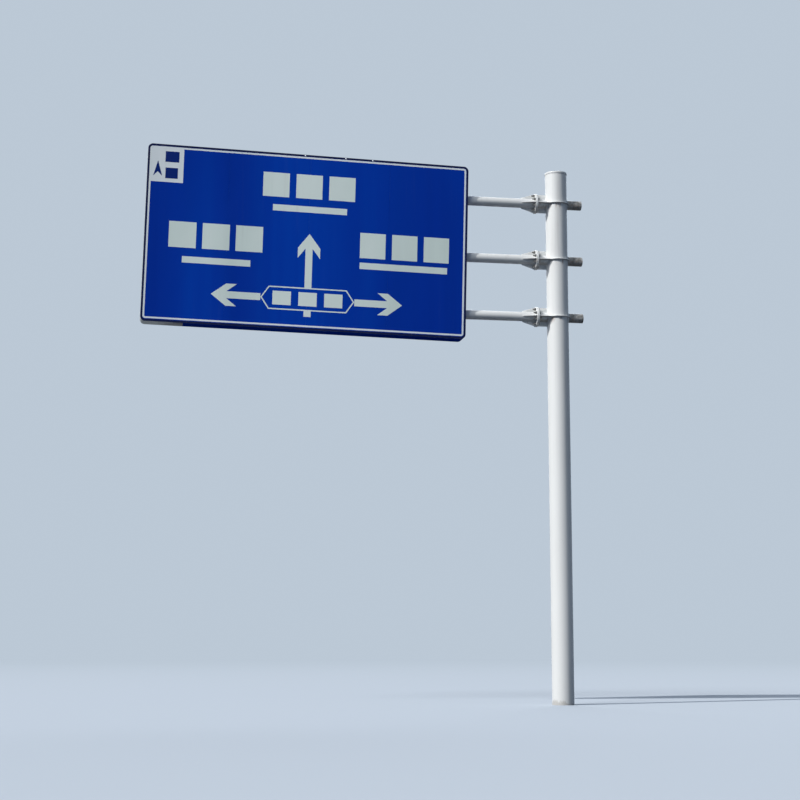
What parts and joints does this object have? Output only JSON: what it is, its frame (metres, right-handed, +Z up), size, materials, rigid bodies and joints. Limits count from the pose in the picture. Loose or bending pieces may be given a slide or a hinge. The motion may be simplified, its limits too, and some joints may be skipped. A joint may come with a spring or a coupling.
{
  "type": "cantilever sign gantry",
  "caption": "Round white steel post with parallel tube arms through it, bolted at flanges, carrying a wide double-faced blue road sign case to one side.",
  "frame": {"origin": "centre of the post's foot, on the ground", "axes": "+Z up the post, the arms and sign reach out towards -X, the sign's face looks towards -Y"},
  "size_m": [6.607, 0.385, 8.0991],
  "materials": {
    "white_paint": "white gloss coating over galvanised steel, dusty",
    "blue_sheet": "aluminium sheet covered with blue reflective film",
    "bare_aluminium": "bare mill-finish sheet, dulled",
    "galvanised": "hot-dip galvanised steel"
  },
  "bodies": {
    "root": {"post": "white_paint", "post_cap": "white_paint", "root_tubes": "white_paint", "root_flanges": "white_paint", "root_gussets": "white_paint", "collar_plates": "white_paint", "arm_flanges": "white_paint", "arm_gussets": "white_paint", "arm_tube_bottom": "white_paint", "arm_tube_middle": "white_paint", "arm_tube_top": "white_paint", "front_sheet_1": "blue_sheet", "rear_sheet_1": "blue_sheet", "front_sheet_2": "blue_sheet", "rear_sheet_2": "blue_sheet", "front_sheet_3": "blue_sheet", "rear_sheet_3": "blue_sheet", "front_sheet_4": "blue_sheet", "rear_sheet_4": "blue_sheet", "edge_strip_top": "blue_sheet", "edge_strip_bottom": "blue_sheet", "edge_strip_right": "blue_sheet", "edge_strip_left": "bare_aluminium", "edge_strip_bottom_end": "bare_aluminium", "front_uprights": "bare_aluminium", "rear_uprights": "bare_aluminium", "saddle_blocks": "galvanised", "tie_bars": "galvanised"}
  },
  "joints": []
}
